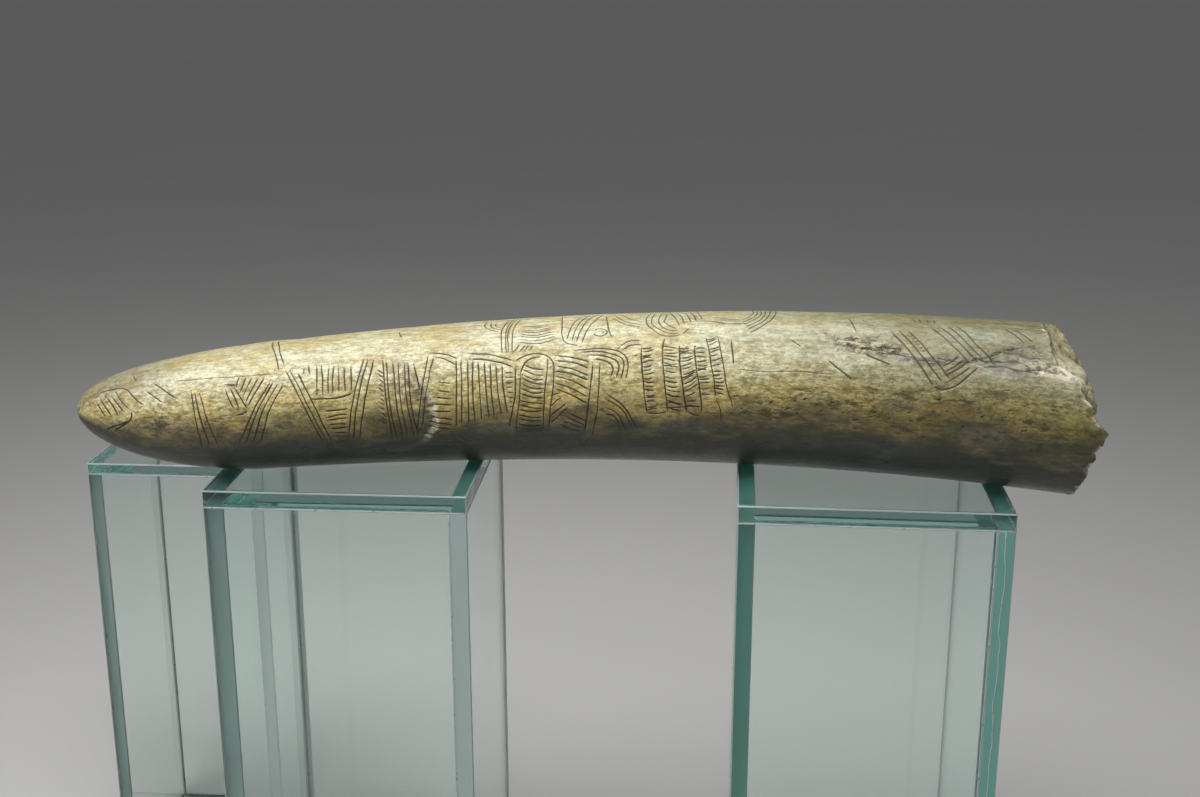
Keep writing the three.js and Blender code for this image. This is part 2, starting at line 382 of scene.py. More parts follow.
def upright_panels():
    """A long band, upright hatching on a base line, flat hatching, and the next long band."""
    return [
        *hatch((93.5, 45), (99.3, 42), (110.8, -29), (115, -29), 3),
        *hatch((102.3, 46), (105, 48), (102, 39), (105, 39), 2),
        *hatch((107.8, 46), (124, 43), (107.2, 19), (124, 21), 7),
        [(105, 17.5), (113, 16.5), (119, 17.5), (124.5, 20)],
        *hatch((111, 5.5), (115.5, -25), (122, 7), (120.5, -26), 9),
        *hatch((129.5, 49), (134.5, 47), (120.8, -25), (126.5, -25), 3, bow=(-1.2, 0)),
    ]


def converging_column():
    """Lines that draw together downward, ticked on one edge, and flat hatching beyond the scar."""
    return [
        *hatch((138, 47), (150.5, 41), (142, -24), (154.5, -26), 6, bow=(-0.8, 0)),
        [(153, 40), (154.5, 28), (155.5, 18)],
        *hatch((136.3, 38), (137, -6), (138.7, 35), (139.3, -9), 12),
        *hatch((160, 46.5), (162.3, 45), (153.4, -23), (156, -14), 2, bow=(-0.6, 0)),
        *hatch((164.8, 23), (155, -31), (170.5, 21), (171, -33), 11),
        *hatch((160.5, 51), (162.5, 45.5), (173.5, 43), (173, 37), 2, bow=(0, 1.2)),
    ]


def framed_panel():
    """Upright lines under a double frame, with short rungs at the right."""
    return [
        *hatch((173.2, 42), (194, 35), (172.2, -14), (196.5, -4), 9),
        [(201, 32), (200.5, 12), (199.3, 0), (197.3, -16)],
        *hatch((179, 46.5), (179.5, 42), (200, 37), (200, 32), 2, bow=(0, 1.8)),
        *hatch((195.6, 28), (197.6, 2), (199.6, 28), (199.8, 2), 8),
        *nested(
            [(171.5, -19), (174, -27), (179, -32), (184, -33)],
            [(178, -17), (180, -22), (183, -25), (187, -25)],
            3,
        ),
    ]


def arched_column():
    """A tall arch with a double outline, filled with sagging rungs."""
    return [
        [
            (200.3, 37), (204.5, 41), (209, 43), (214, 42), (217.5, 38),
            (218.7, 32), (218.6, 18), (217.3, 2), (216, -24),
        ],
        [(203, 27), (204.3, 33), (206.5, 37.5), (210, 39.8), (213.5, 40)],
        [(203, 25), (202.8, 12), (201.6, -5), (200.2, -23)],
        [(216, 38), (215.6, 25), (214.4, 8), (213.2, -22)],
        *hatch((204.8, 34), (200.9, -20), (214.8, 29), (212.8, -21), 15, bow=(0, -1.2)),
    ]


def barbed_hatching():
    """Slanted lines with short barbs below them."""
    return [
        *hatch((220, 41), (219.5, 15), (236, 35), (235.3, 3), 7, bow=(0, 1)),
        *hatch((217.5, 8), (217.2, -13.5), (222, 11.5), (226, 0), 4),
        *hatch((221.5, -14), (226, -5), (232.5, -22), (234.5, -12), 4),
    ]


def hooked_band():
    """A double upright band under open nested hooks, and a curved band beside it."""
    outer = [(229, 45), (240, 45.5), (248, 43.5), (253, 38.5), (254.8, 31), (253.5, 20)]
    inner = [(238, 37), (242.5, 36), (245.5, 33.5), (247, 30.5), (247.2, 27), (246, 22)]
    return [
        *hatch((237, 33), (240.5, 32), (232, -34), (236, -35), 2, bow=(1.2, 0)),
        *nested(outer, inner, 4),
        *hatch((244, 10.5), (243.5, -4), (259.6, -18.5), (252, -22), 4, bow=(0.8, 5)),
        *hatch((250, 46), (251.5, 43.5), (260, 52), (261, 48), 2, bow=(-1, 1.5)),
        [(256, 38), (259.5, 39)],
    ]


def netted_panel():
    """Leaning rails with uneven rungs between them, closed below."""
    rails = [
        [(260.5, 45), (261, 30), (262, 15), (263, 3), (264, -4.5)],
        [(271.5, 54), (270.5, 45), (271, 32), (272, 20), (273, 5), (274, -4)],
        [(278.3, 47), (279, 32), (280.5, 18), (282, 5), (283, -4)],
        [(285.5, 45), (286.5, 32), (288, 20), (289.5, 8), (290, -4)],
        [(290.5, 54), (292.5, 42), (294, 30), (295.5, 20), (296.7, 8)],
        [(296.5, 53), (298.5, 40), (300.5, 25), (302.5, 12), (305.5, 0)],
    ]
    leans = [
        ((3, 4, -1, 4), 0.62), ((-1, -2, -4), 1), ((-1, 4, 8, -4), 0.95),
        ((0, 1, 0), 0.9), ((4, 2, -1), 0.95),
    ]
    strokes = list(rails)
    for left, right, (lean, reach) in zip(rails, rails[1:], leans):
        strokes += rungs(left, right, lean, reach)
    return strokes + [
        [(263.5, -4.5), (269, -5), (274, -3.5)],
        [(272, -0.5), (280, 0), (289.5, 0.5)],
        [(297, 5), (299, -1), (300, -11)],
        [(302.8, 51), (304, 38), (304.6, 31)],
    ]


def right_chevron():
    """Crossing hatched arms, and loose strokes before the break."""
    return [
        *hatch((377, 61), (383.5, 64), (398.5, 22), (404.5, 27), 3),
        [(398.5, 21.5), (400.5, 20), (404, 20.5), (408, 23), (412, 29), (417.5, 38)],
        *hatch((404.3, 26.5), (401, 36), (413.5, 37.5), (408, 44.5), 4, bow=(0.6, -0.8)),
        *hatch((394, 69), (404, 73.5), (413, 39.5), (422.8, 40.5), 4),
        *hatch((384.2, 82), (393.2, 82), (386.2, 75.5), (395, 75.5), 4),
        *hatch((384.5, 58.5), (391, 46), (386, 59.5), (392.5, 47), 6),
        [(349, 36), (353, 31), (361, 22.5)],
        [(365.5, 42), (371, 38.5), (378, 34.5)],
    ]


def top_motifs():
    """Nested arcs and curved bands over the top, and a few loose scratches."""
    return [
        [(25.7, 70), (26.5, 61), (27, 56)],
        [(31, 41), (34, 33), (38, 24)],
        *nested(
            [(88, 96), (88, 80), (89, 65), (91, 46)],
            [(91.5, 96), (91.8, 75), (92.3, 62), (93.6, 52)],
            2,
        ),
        [(146.3, 86), (146.6, 79), (147.4, 72)],
        *nested(
            [(187.5, 92), (186.5, 83), (188, 76), (193, 69)],
            [(191.5, 87), (191.6, 80), (193, 77), (195, 75)],
            3,
        ),
        *hatch((198.5, 97), (203.5, 97), (194.4, 45), (199.3, 44), 4, bow=(-2.2, 0)),
        *hatch((203.5, 78), (202, 55.5), (216.5, 78), (220, 57), 8, bow=(0, -3)),
        *hatch((200, 45.5), (208, 46.5), (203, 53), (209.3, 51.5), 4),
        [(222.3, 97), (222.6, 75), (222.3, 61), (224.3, 52.5), (230.5, 48.5)],
        *hatch((233.5, 97), (243, 97), (225, 55), (231.7, 51), 4, bow=(-1.2, 0)),
        [(237.3, 63), (239.5, 66.5), (243, 65), (243.7, 60.5), (241, 57.5), (238, 59.5), (237.6, 62)],
        [(239.5, 62.5), (241, 64), (242.2, 62), (240.8, 60.2)],
        [(243, 88), (244, 72), (245, 62), (246.5, 55)],
        *nested(
            [(249, 96), (252, 84), (256, 77), (260.5, 74)],
            [(246, 82), (250, 74), (254, 69), (260.5, 66)],
            3,
        ),
        *nested(
            [(264.3, 97), (262, 82), (263, 70), (266, 62), (270, 57), (275, 55.5), (279, 57.5)],
            [(271.5, 90), (270.5, 80), (270.3, 73), (271.5, 69), (273, 66.5), (275, 65), (277, 64)],
            4,
        ),
        [(279, 57.5), (281, 60.5), (282.7, 65)],
        *hatch((271.5, 97), (284, 97), (278, 67), (288, 75), 5, bow=(0.6, 0)),
        *hatch((291, 74), (294, 79), (309.5, 69), (307, 75), 3, bow=(0, -2)),
        *nested(
            [(310.5, 97), (311, 86), (309.5, 78.5), (306, 73)],
            [(321.5, 97), (321.8, 82), (318.5, 69.5), (310.5, 57.5)],
            6,
        ),
        [(355.5, 79), (357.5, 71), (360, 61)],
        *hatch((425, 74), (428.5, 74), (435.5, 59), (439, 60.5), 2),
        *hatch((246.5, 79.5), (260, 64), (247, 79), (260.5, 63.5), 9),
        *hatch((291.5, 72.5), (305.5, 68), (292, 72), (306, 67.5), 8),
        [(330, 53), (333, 49), (336, 46)],
    ]


def scratches():
    """Thin scratches and age lines along the grain."""
    return [
        [(44, 47.5), (60, 45.5), (78, 43.5), (92, 42)],
        [(306, 27.5), (322, 26.5), (338, 27), (352, 25.5)],
        [(408, 77), (420, 74.5), (434, 73)],
        [(414, 80), (426, 77.5), (436, 76.5)],
    ]


def engraving():
    """Every stroke with its weight, from the tip to the break."""
    front = [
        *tip_motifs(), *left_chevron(), *upright_panels(), *converging_column(), *framed_panel(),
        *arched_column(), *barbed_hatching(), *hooked_band(), *netted_panel(), *right_chevron(),
    ]
    return [
        *((stroke, BOLD) for stroke in front),
        *((stroke, FAINT) for stroke in top_motifs()),
        *((stroke, SCRATCH) for stroke in scratches()),
    ]


# Cracks and pits, as strokes too

def cracks():
    return [
        [(352, 49), (358, 47.8), (364, 46)],
        [(362, 45.5), (372, 43.8), (380, 41.8), (386, 40.8)],
        [(388, 40.4), (396, 39.6), (404, 39.4)],
        [(398, 41.3), (408, 40.6), (414, 41.8), (420, 45), (426, 48.6)],
        [(424, 49), (432, 53.6), (437, 56), (443, 58.6)],
        [(420, 38.4), (428, 38.6), (436.4, 37.9), (445, 39.2)],
        [(424, 50), (432, 48.5), (443, 47)],
        [(414, 43.5), (421, 42.3), (430, 43.2), (438, 42.4)],
        [(352, 55), (360, 52.6), (368, 51)],
        [(368, 48.5), (375, 47.2), (382, 46)],
    ]


def scatter(count, along, angle, length, lean):
    """Short strokes at seeded places inside a range of along and of angle."""
    strokes = []
    for _ in range(count):
        place = (chance.uniform(*along), chance.uniform(*angle))
        half = 0.5 * chance.uniform(*length)
        tilt = chance.uniform(-lean, lean)
        strokes.append([(place[0] - half, place[1] - tilt), (place[0] + half, place[1] + tilt)])
    return strokes


def pits():
    return [
        *scatter(34, (27, 50), (-14, 10), (0.4, 1.4), 0.8),
        *scatter(18, (60, 100), (-12, 14), (0.4, 1.2), 0.6),
        *scatter(16, (260, 310), (-24, 12), (0.5, 2.0), 0.6),
        *scatter(90, (305, 380), (-24, 18), (0.6, 3.0), 0.7),
        *scatter(70, (380, 455), (-28, 24), (0.6, 3.0), 0.7),
        *scatter(46, (350, 384), (43, 57), (0.5, 2.4), 2.2),
        *scatter(30, (418, 444), (37, 56), (0.5, 2.4), 1.8),
    ]


def large_pits():
    places = [
        (307, 9), (311.5, 9), (323, 5), (331, 1), (339, 8), (347, 0.5), (352, 6),
        (357, -0.5), (363, -5), (366, 5), (372, 1), (379, -2), (388, 3), (395, -14),
        (401, 13), (405, 6), (413, -4), (421, 4), (433, 10), (441, -2),
    ]
    return [[(along - 0.5, angle), (along + 0.5, angle + 0.5)] for along, angle in places]


# From strokes to a triangulated skin

def spline(points, step):
    """Points at about even steps along a smooth curve through the given ones."""
    ends = [points[0] * 2 - points[1], *points, points[-1] * 2 - points[-2]]
    curve = []
    for a, b, c, d in zip(ends, ends[1:], ends[2:], ends[3:]):
        count = max(2, round((c - b).length / step))
        for k in range(count):
            t = k / count
            square = (2 * a - 5 * b + 4 * c - d) * t * t
            cube = (3 * b - a - 3 * c + d) * t ** 3
            curve.append((2 * b + (c - a) * t + square + cube) * 0.5)
    return curve + [points[-1]]


def groove_of(stroke, half_width, depth, wobble, ink):
    """(points, half widths, depths, ink) of a groove along a stroke, fading out at both ends."""
    points = spline([Vector((*unroll(*p), 0)) for p in stroke], STROKE_STEP)
    seed = chance.uniform(0, 500)
    reach = 0.0
    reaches = [0.0]
    for a, b in zip(points, points[1:]):
        reach += (b - a).length
        reaches.append(reach)
    shaken = []
    fades = []
    for point, way in zip(points, reaches):
        shake = noise.noise_vector(Vector((seed, way * SHAKE_GRAIN, 0)))
        shaken.append(point + Vector((shake.x, shake.y, 0)) * wobble)
        press = PRESS + PRESS_CHANGE * noise.noise(Vector((way * PRESS_GRAIN, seed, 7)))
        fades.append(press * min(1.0, STROKE_END + min(way, reach - way) / STROKE_TAPER))
    return shaken, [half_width * f for f in fades], [depth * f for f in fades], ink


def crack_grooves():
    return [groove_of(stroke, CRACK_HALF_WIDTH, CRACK_DEPTH, CRACK_WOBBLE, CRACK_INK) for stroke in cracks()]


def cut_grooves():
    """Grooves of the engraving and of the pits."""
    grooves = []
    for stroke, weight in engraving():
        half = STROKE_HALF_WIDTH * weight * chance.uniform(*WIDTH_SPREAD)
        depth = STROKE_DEPTH * weight * chance.uniform(*DEPTH_SPREAD)
        grooves.append(groove_of(stroke, half, depth, STROKE_WOBBLE, weight))
    for stroke in pits():
        size = chance.uniform(*PIT_SIZES)
        ink = chance.uniform(*PIT_INKS)
        grooves.append(groove_of(stroke, PIT_HALF_WIDTH * size, PIT_DEPTH * size, STROKE_WOBBLE, ink))
    for stroke in large_pits():
        size = chance.uniform(*LARGE_PIT_SIZES)
        grooves.append(groove_of(stroke, PIT_HALF_WIDTH * size, PIT_DEPTH * size, STROKE_WOBBLE, 1.0))
    return grooves


def beside(points, offsets):
    """A line beside another one, offset to its left."""
    line = []
    for i, p in enumerate(points):
        way = (points[min(i + 1, len(points) - 1)] - points[max(i - 1, 0)]).normalized()
        line.append(p + Vector((-way.y, way.x, 0)) * offsets[i])
    return line


class Skin:
    """The tusk's unrolled skin: points and held lines in millimetres, to be triangulated."""

    def __init__(self):
        self.points = []
        self.edges = []

    def add_line(self, line, closed=False):
        first = len(self.points)
        self.points += [Vector((p[0], p[1])) for p in line]
        self.edges += [(first + i, first + i + 1) for i in range(len(line) - 1)]
        if closed:
            self.edges.append((first + len(line) - 1, first))
        return list(range(first, first + len(line)))


class Relief:
    """Nearest groove to any point of the skin, from close samples of every groove's middle line."""

    SAMPLE = 0.15

    def __init__(self, grooves):
        self.values = []
        rows = []
        for points, halves, depths, ink in grooves:
            for i in range(len(points) - 1):
                steps = max(1, round((points[i + 1] - points[i]).length / self.SAMPLE))
                for k in range(steps):
                    t = k / steps
                    rows.append(points[i].lerp(points[i + 1], t))
                    half = halves[i] + (halves[i + 1] - halves[i]) * t
                    self.values.append((half, depths[i] + (depths[i + 1] - depths[i]) * t, ink))
        self.tree = kdtree.KDTree(len(rows))
        for i, p in enumerate(rows):
            self.tree.insert(p, i)
        self.tree.balance()

    def at(self, point):
        """(depth, ink, distance beyond the lip)"""
        _, i, distance = self.tree.find(Vector((point[0], point[1], 0)))
        half, depth, ink = self.values[i]
        share = max(0.0, 1 - distance / half)
        return depth * share, ink * share, distance - half


def skin_outline(skin):
    """The skin's edge: the tip ring, the seam at the back, the rim of the break and the seam again."""
    tip = [(TIP_START, -180 + 360 * k / TIP_POINTS) for k in range(TIP_POINTS + 1)]
    rim = [(break_reach(a), a) for a in (180 - 360 * k / RIM_POINTS for k in range(RIM_POINTS + 1))]
    rim[-1] = (rim[0][0], -180)
    seam_points = int((rim[0][0] - TIP_START) / BACK_STEP)
    seam = [TIP_START + (rim[0][0] - TIP_START) * k / seam_points for k in range(1, seam_points)]
    far = [(u, 180) for u in seam]
    near = [(u, -180) for u in reversed(seam)]
    ids = skin.add_line([unroll(*p) for p in tip + far + rim + near], closed=True)
    tip_ids = ids[:len(tip)]
    far_ids = ids[len(tip):len(tip) + len(far)]
    rim_ids = ids[len(tip) + len(far):len(tip) + len(far) + len(rim)]
    near_ids = ids[len(tip) + len(far) + len(rim):]
    twins = dict(zip(near_ids, reversed(far_ids)))
    twins[tip_ids[0]] = tip_ids[-1]
    twins[rim_ids[-1]] = rim_ids[0]
    return tip_ids, rim_ids, twins


def fill_skin(skin, relief):
    """Staggered points between the held lines, closer on the engraved side."""
    for step, angle_from, angle_to in (
        (FRONT_STEP, FRONT_FROM, FRONT_TO),
        (BACK_STEP, -180, FRONT_FROM),
        (BACK_STEP, FRONT_TO, 180),
    ):
        row = 0
        along = TIP_START + step
        while along < max(r for _, r in BREAK_RIM):
            arc = math.radians(angle_to - angle_from) * float(radius_at(along))
            count = max(1, int(arc / step))
            for k in range(count):
                angle = angle_from + (angle_to - angle_from) * (k + 0.25 + 0.5 * (row % 2)) / count
                p = unroll(along, angle)
                if along < break_reach(angle) - 0.6 * step and relief.at(p)[2] > STROKE_GUARD + 0.4:
                    skin.points.append(Vector(p))
            along += step * 0.87
            row += 1


def scar_at(along, angle):
    """(depth, pale wall, painted shade of the floor) of the flake scar on the tip side of its curved edge.
    """
    low, high = SCAR_EDGE[0][0], SCAR_EDGE[-1][0]
    t = (angle - low) / (high - low)
    inside = np.clip(4 * t * (1 - t), 0, 1)
    jag = np.array([
        noise.noise(Vector((a * 0.3, 0.4, 2))) + 0.5 * noise.noise(Vector((a, 0.7, 5))) for a in angle
    ])
    edge = np.interp(angle, [a for a, _ in SCAR_EDGE], [u for _, u in SCAR_EDGE]) + SCAR_JAG * jag
    left = edge - along
    wide = SCAR_WALL * (0.5 + 0.6 * smoothstep(angle, 30, 4))
    wall = smoothstep(left, 0, wide)
    slope = np.clip(1 - (left - wide) / SCAR_WIDTH, 0, 1)
    depth = SCAR_DEPTH * wall * slope * np.sqrt(inside)
    shown = inside ** 0.3 * smoothstep(angle, -34, -10)
    pale = np.where(left > -0.4, 1 - smoothstep(left, 0.6 * wide, 1.2 * wide), 0) * shown
    # Painted shade on the hollow's floor, below the steep wall
    dark = wall * slope * inside * smoothstep(angle, 44, 14)
    return depth, pale, dark


def spread_over(places, along, angle):
    """From 0 to 1, how deep inside any of the soft-edged places each point is."""
    share = np.zeros(len(along))
    for middle, height, reach, reach_up in places:
        square = ((along - middle) / reach) ** 2 + ((angle - height) / reach_up) ** 2
        share = np.maximum(share, np.minimum(1, 1.5 * np.exp(-square)))
    return share


def swell_at(along, angle, crumbled):
    """Slow unevenness of the skin, inward or outward, and lumps where it has crumbled."""
    radius = radius_at(along)
    rad = np.radians(angle)
    fade = (1 + np.sin(rad)) / 2
    places = np.stack([along * 0.6, radius * np.cos(rad), radius * np.sin(rad)], axis=-1) * SWELL_GRAIN
    slow = np.array([noise.noise(Vector(p)) + 0.4 * noise.noise(Vector(p) * 3.1) for p in places])
    rough = np.array([noise.turbulence(Vector(p) * 12, 3, False) for p in places])
    return SWELL * slow * fade + CRUMBLE * crumbled * rough


def fracture_relief(angle, share):
    """Stepped layers and lumps of the broken face along the axis, in millimetres, none at the rim."""
    rad = np.radians(angle)
    across = share * BUTT_RADIUS * np.cos(rad)
    up = share * BUTT_RADIUS * np.sin(rad)
    places = [Vector((a, b, 3)) for a, b in zip(across, up)]
    slow = np.array([noise.noise(p * 0.06) for p in places])
    lumps = np.array([noise.turbulence(p * 0.13, 4, False) for p in places]) - 0.5
    waves = np.sin(0.23 * across + 0.9) * np.cos(0.19 * up - 0.4) + 0.6 * np.sin(0.41 * up + 0.3 * across)
    knob_across = across - KNOB_SHARE * BUTT_RADIUS * math.cos(math.radians(KNOB_ANGLE))
    knob_up = up - KNOB_SHARE * BUTT_RADIUS * math.sin(math.radians(KNOB_ANGLE))
    knob = KNOB_HEIGHT * np.exp(-((knob_across ** 2 + knob_up ** 2) / KNOB_REACH ** 2) ** 2)
    layer = share * FACE_LAYERS + 2.6 * slow
    steps = layer - np.floor(layer) - 0.5
    fade = np.minimum(1, 8 * (1 - share))
    uneven = (FACE_WAVES * waves + FACE_ROUGHNESS * lumps) * (1 - share * share)
    return uneven + (FACE_STEP * steps + knob) * fade


def link(name, mesh):
    made = bpy.data.objects.new(name, mesh)
    bpy.context.scene.collection.objects.link(made)
    return made


def tusk_object(apex):
    """The whole tusk as one closed mesh, with the values that its material reads."""
    split = crack_grooves()
    fissure = Relief(split)
    grooves = split + cut_grooves()
    relief = Relief(grooves)
    skin = Skin()
    tip_ids, rim_ids, twins = skin_outline(skin)
    for points, halves, _, _ in grooves:
        skin.add_line(points)
        for side in (-1, 1):
            skin.add_line(beside(points, [side * h for h in halves]))
            skin.add_line(beside(points, [side * (h + STROKE_GUARD) for h in halves]))
    fill_skin(skin, relief)
    flat, _, triangles, origins, _, _ = delaunay_2d_cdt(skin.points, skin.edges, [], 1, 1e-4)
    made_from = {source: i for i, sources in enumerate(origins) for source in sources}

    along = np.array([p.x for p in flat])
    angle = np.degrees(np.array([p.y for p in flat]) / radius_at(along))
    found = [relief.at(p) for p in flat]
    ink = np.array([f[1] for f in found])
    scar, pale, dark = scar_at(along, angle)
    by_crack = np.array([math.exp(-(max(0.0, fissure.at(p)[2]) / CRACK_STAIN) ** 2) for p in flat])
    from_rim = np.array([break_reach(a) for a in angle]) - along
    near_rim = 1 - smoothstep(from_rim, 0, RIM_CRUMBLE_REACH)
    decay = spread_over(DECAYED, along, angle)
    rust = spread_over(RUSTY, along, angle)
    crumbled = np.maximum(np.maximum(near_rim, by_crack), 1.6 * decay)
    chips = np.array([noise.noise(Vector((a * 0.16, 3, 8))) for a in angle])
    chipped = np.exp(-(np.maximum(from_rim, 0) / RIM_CHIP) ** 2) * smoothstep(chips, -0.1, 0.35)
    pale = np.maximum(np.maximum(pale, chipped), spread_over(CHIPPED, along, angle))
    # dark holds crack stains and dirt, and the painted shade of the scar's hollow
    dark = np.maximum(np.maximum(dark, by_crack), spread_over(DIRTY, along, angle))
    depth = np.array([f[0] for f in found]) + scar + swell_at(along, angle, crumbled)
    points = tusk_points(along, angle, depth)

    weld = np.arange(len(flat))
    for a, b in twins.items():
        weld[made_from[a]] = made_from[b]
    faces = [[int(weld[v]) for v in t] for t in triangles]
    tip = len(flat)
    ring = [int(weld[made_from[i]]) for i in tip_ids]
    faces += [[tip, a, b] for a, b in zip(ring, ring[1:])]

    rim = [int(weld[made_from[i]]) for i in reversed(rim_ids)][:-1]
    rim_angle = angle[rim]
    rim_along = along[rim]
    shares = 1 - np.arange(1, FACE_RINGS) / FACE_RINGS
    face_share = np.repeat(shares, RIM_POINTS)
    face_angle = np.tile(rim_angle, len(shares))
    face_along = BREAK_FACE + (np.tile(rim_along, len(shares)) - BREAK_FACE) * face_share ** FACE_CURVE
    face_along = face_along + fracture_relief(face_angle, face_share)
    face_points = tusk_points(face_along, face_angle, 0, face_share)
    first = tip + 1
    starts = [first + i * RIM_POINTS for i in range(len(shares))]
    rings = [rim] + [list(range(start, start + RIM_POINTS)) for start in starts]
    for outer, inner in zip(rings, rings[1:]):
        for j in range(RIM_POINTS):
            k = (j + 1) % RIM_POINTS
            faces.append([outer[j], inner[j], inner[k], outer[k]])
    middle = first + len(shares) * RIM_POINTS
    faces += [[middle, rings[-1][(j + 1) % RIM_POINTS], rings[-1][j]] for j in range(RIM_POINTS)]

    everything = np.concatenate([
        points, tusk_points([0], [0], 0, 0), face_points, tusk_points([BREAK_FACE], [0], 0, 0),
    ])
    ends = len(face_share) + 1
    radius = np.concatenate([radius_at(along), [0], BUTT_RADIUS * face_share, [0]])
    turns = np.radians(np.concatenate([angle, [0], face_angle, [0]]))
    lengths = np.concatenate([along, [0], face_along, [BREAK_FACE]])
    straight = np.stack([lengths, radius * np.cos(turns), radius * np.sin(turns)], axis=-1)
    wear_and_shade = np.zeros((len(everything), 3))
    wear_and_shade[:len(flat)] = np.stack([ink, pale, dark], axis=-1)
    chip = np.exp(-((face_angle - FACE_CHIP_ANGLE) / FACE_CHIP_REACH) ** 2)
    wear_and_shade[first:middle, 1] = smoothstep(face_share, *FACE_CHIP_SHARES) * chip
    broken = np.concatenate([np.zeros(len(flat) + 1), np.ones(ends)])
    decay = np.concatenate([decay, np.zeros(ends + 1)])
    rust = np.concatenate([rust, np.zeros(ends + 1)])

    mesh = bpy.data.meshes.new("engraved_tusk")
    mesh.from_pydata([apex + Vector(p) * MM for p in everything], [], faces)
    for name, values in (("straight", straight), ("wear_and_shade", wear_and_shade)):
        made = mesh.attributes.new(name, "FLOAT_VECTOR", "POINT")
        made.data.foreach_set("vector", values.astype(np.float32).ravel())
    for name, values in (("upness", np.sin(turns)), ("broken", broken), ("decay", decay), ("rust", rust)):
        made = mesh.attributes.new(name, "FLOAT", "POINT")
        made.data.foreach_set("value", values.astype(np.float32))
    mesh.polygons.foreach_set("use_smooth", [True] * len(mesh.polygons))
    on_rim = set(rim)
    for edge in mesh.edges:
        edge.use_edge_sharp = edge.vertices[0] in on_rim and edge.vertices[1] in on_rim
    mesh.update()
    loose = bmesh.new()
    loose.from_mesh(mesh)
    bmesh.ops.delete(loose, geom=[v for v in loose.verts if not v.link_faces], context="VERTS")
    loose.to_mesh(mesh)
    loose.free()
    return link("engraved_tusk", mesh)


# Risers

def riser_frame(riser):
    """The riser's own frame, at the middle of its foot and turned as it stands."""
    low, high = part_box(f"{riser}_top")
    middle = (low + high) / 2
    turn = Matrix.Rotation(math.radians(RISER_TURNS[riser]), 4, "Z")
    return Matrix.Translation((middle.x, middle.y, 0)) @ turn


def plate_box(node, own):
    """Lowest and highest corner of a plate in its riser's frame."""
    back = own.inverted()
    corners = [back @ v.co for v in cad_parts[node].data.vertices]
    low = Vector([min(c[i] for c in corners) for i in range(3)])
    high = Vector([max(c[i] for c in corners) for i in range(3)])
    return low, high


def plate_object(riser, side, own, materials):
    """A glass plate with small arrises; a wall reaches through the glue into the plates that it meets."""
    node = f"{riser}_{side}"
    low, high = plate_box(node, own)
    ends = None
    if side in WALLS:
        reach = (GLUE_GAP + GLUE_OVERLAP) * MM
        high.z += reach
        ends = 0 if side in ("front", "back") else 1
        if side in ("front", "right"):
            high[ends] += reach
        else:
            low[ends] -= reach
    shape = bmesh.new()
    bmesh.ops.create_cube(shape, size=1)
    for v in shape.verts:
        v.co = Vector([low[i] + (v.co[i] + 0.5) * (high[i] - low[i]) for i in range(3)])
    bmesh.ops.bevel(shape, geom=shape.edges[:], offset=ARRIS * MM, segments=2, profile=0.5, affect="EDGES")
    shape.normal_update()
    for face in shape.faces:
        arris = max(abs(c) for c in face.normal) < 0.99
        end = ends is not None and abs(face.normal[ends]) > 0.99
        if arris or end and riser in GROUND_RISERS:
            face.material_index = 1
        # Wall tops, and the wall ends of risers that aren't ground, take the glued edge, coloured teal as
        # painted glow
        elif end or ends is not None and face.normal.z > 0.99:
            face.material_index = 2
    shape.transform(own)
    mesh = bpy.data.meshes.new(f"{node}_plate")
    shape.to_mesh(mesh)
    shape.free()
    for material in materials:
        mesh.materials.append(material)
    made = link(f"{node}_plate", mesh)
    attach(made, "root")
    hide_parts(node)


def bead(shape, start, end, radius, wander):
    """A thin uneven bead of glue from start to end, added to a bmesh."""
    way = (end - start).normalized()
    across = way.orthogonal().normalized()
    up = way.cross(across)
    steps = max(4, round((end - start).length / (BEAD_STEP * MM)))
    seed = chance.uniform(0, 500)
    rings = []
    for k in range(steps + 1):
        t = k / steps
        at = t * (end - start).length / MM
        drift = noise.noise(Vector((at * 0.05, seed, 0))) + 0.6 * noise.noise(Vector((at * 0.14, seed, 4)))
        swollen = radius * (1 + 0.4 * noise.noise(Vector((at * 0.2, seed, 9))))
        centre = start.lerp(end, t) + wander * drift
        turns = [2 * math.pi * j / BEAD_SIDES for j in range(BEAD_SIDES)]
        rings.append([
            shape.verts.new(centre + (across * math.cos(a) + up * math.sin(a)) * swollen * MM) for a in turns
        ])
    for one, two in zip(rings, rings[1:]):
        for j in range(BEAD_SIDES):
            k = (j + 1) % BEAD_SIDES
            shape.faces.new((one[j], one[k], two[k], two[j]))
    shape.faces.new(reversed(rings[0]))
    shape.faces.new(rings[-1])


